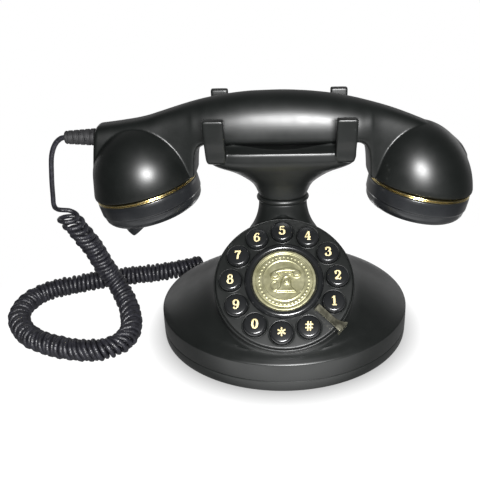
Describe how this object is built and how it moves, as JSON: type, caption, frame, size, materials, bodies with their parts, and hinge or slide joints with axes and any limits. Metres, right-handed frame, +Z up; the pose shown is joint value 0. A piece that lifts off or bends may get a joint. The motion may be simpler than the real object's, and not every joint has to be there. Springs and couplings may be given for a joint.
{
  "type": "cradle telephone",
  "caption": "Black French-style cradle telephone: oval base, slender column with a four-pronged cradle, push-button dial with a brass medallion, curved handset and curled cord.",
  "frame": {"origin": "middle of the oval base on the surface the feet stand on", "axes": "+X to the earpiece end of the handset, +Z up, the dial faces -Y"},
  "size_m": [0.318, 0.1698, 0.1637],
  "materials": {
    "satin_black": "satin moulded plastic",
    "gloss_black": "polished",
    "polished_brass": "polished",
    "aged_brass": "aged and brushed",
    "black_rubber": "matte",
    "cord_sheath": "satin",
    "zinc_steel": "zinc plated",
    "circuit_board": "lacquered",
    "grey_plastic": "moulded",
    "clear_plastic": "clear moulded"
  },
  "bodies": {
    "phone": {"base_shell": "satin_black", "base_plate": "satin_black", "neck_collar": "satin_black", "cradle_head": "satin_black", "dial_rim": "satin_black", "dial_plate": "satin_black", "dial_bezel": "gloss_black", "finger_stop": "polished_brass", "medallion": "aged_brass", "keypad_mat": "black_rubber", "rubber_foot_1": "black_rubber", "rubber_foot_2": "black_rubber", "rubber_foot_3": "black_rubber", "rubber_foot_4": "black_rubber", "cord_lead": "cord_sheath", "cord_coil": "cord_sheath", "cord_tail": "cord_sheath", "ballast_weight": "zinc_steel", "base_screw_1": "zinc_steel", "base_screw_2": "zinc_steel", "base_screw_3": "zinc_steel", "base_screw_4": "zinc_steel", "main_board": "circuit_board", "hook_board": "circuit_board", "keypad_board": "circuit_board", "ringer": "grey_plastic", "handset_jack": "grey_plastic", "line_jack": "grey_plastic", "hook_switch": "grey_plastic", "modular_plug": "clear_plastic"},
    "handset": {"handset_body": "satin_black", "earpiece_ring": "polished_brass", "mouthpiece_ring": "polished_brass", "earpiece_cap": "gloss_black", "mouthpiece_cap": "gloss_black", "receiver_capsule": "grey_plastic", "microphone_capsule": "zinc_steel", "strain_relief": "black_rubber"},
    "hook": {"hook_plunger": "gloss_black"},
    "ringer_slider": {"ringer_switch": "gloss_black"},
    "key_1": {"button_1": "gloss_black"},
    "key_2": {"button_2": "gloss_black"},
    "key_3": {"button_3": "gloss_black"},
    "key_4": {"button_4": "gloss_black"},
    "key_5": {"button_5": "gloss_black"},
    "key_6": {"button_6": "gloss_black"},
    "key_7": {"button_7": "gloss_black"},
    "key_8": {"button_8": "gloss_black"},
    "key_9": {"button_9": "gloss_black"},
    "key_0": {"button_0": "gloss_black"},
    "key_star": {"button_star": "gloss_black"},
    "key_hash": {"button_hash": "gloss_black"}
  },
  "joints": [
    {"name": "handset_lift", "type": "slide", "parent": "phone", "child": "handset", "axis": [0, 0, 1], "range_m": [0, 0.09]},
    {"name": "hook_travel", "type": "slide", "parent": "phone", "child": "hook", "axis": [0, 0, 1], "range_m": [0, 0.003]},
    {"name": "ringer_travel", "type": "slide", "parent": "phone", "child": "ringer_slider", "axis": [1, 0, 0], "range_m": [0, 0.004]},
    {"name": "press_1", "type": "slide", "parent": "phone", "child": "key_1", "axis": [0, 0.6157, -0.788], "range_m": [0, 0.0015], "stiffness_N_per_m": 300},
    {"name": "press_2", "type": "slide", "parent": "phone", "child": "key_2", "axis": [0, 0.6157, -0.788], "range_m": [0, 0.0015], "stiffness_N_per_m": 300},
    {"name": "press_3", "type": "slide", "parent": "phone", "child": "key_3", "axis": [0, 0.6157, -0.788], "range_m": [0, 0.0015], "stiffness_N_per_m": 300},
    {"name": "press_4", "type": "slide", "parent": "phone", "child": "key_4", "axis": [0, 0.6157, -0.788], "range_m": [0, 0.0015], "stiffness_N_per_m": 300},
    {"name": "press_5", "type": "slide", "parent": "phone", "child": "key_5", "axis": [0, 0.6157, -0.788], "range_m": [0, 0.0015], "stiffness_N_per_m": 300},
    {"name": "press_6", "type": "slide", "parent": "phone", "child": "key_6", "axis": [0, 0.6157, -0.788], "range_m": [0, 0.0015], "stiffness_N_per_m": 300},
    {"name": "press_7", "type": "slide", "parent": "phone", "child": "key_7", "axis": [0, 0.6157, -0.788], "range_m": [0, 0.0015], "stiffness_N_per_m": 300},
    {"name": "press_8", "type": "slide", "parent": "phone", "child": "key_8", "axis": [0, 0.6157, -0.788], "range_m": [0, 0.0015], "stiffness_N_per_m": 300},
    {"name": "press_9", "type": "slide", "parent": "phone", "child": "key_9", "axis": [0, 0.6157, -0.788], "range_m": [0, 0.0015], "stiffness_N_per_m": 300},
    {"name": "press_0", "type": "slide", "parent": "phone", "child": "key_0", "axis": [0, 0.6157, -0.788], "range_m": [0, 0.0015], "stiffness_N_per_m": 300},
    {"name": "press_star", "type": "slide", "parent": "phone", "child": "key_star", "axis": [0, 0.6157, -0.788], "range_m": [0, 0.0015], "stiffness_N_per_m": 300},
    {"name": "press_hash", "type": "slide", "parent": "phone", "child": "key_hash", "axis": [0, 0.6157, -0.788], "range_m": [0, 0.0015], "stiffness_N_per_m": 300}
  ],
  "couplings": [
    {"joint": "hook_travel", "follows": "handset_lift", "ratio": 0.033333}
  ]
}
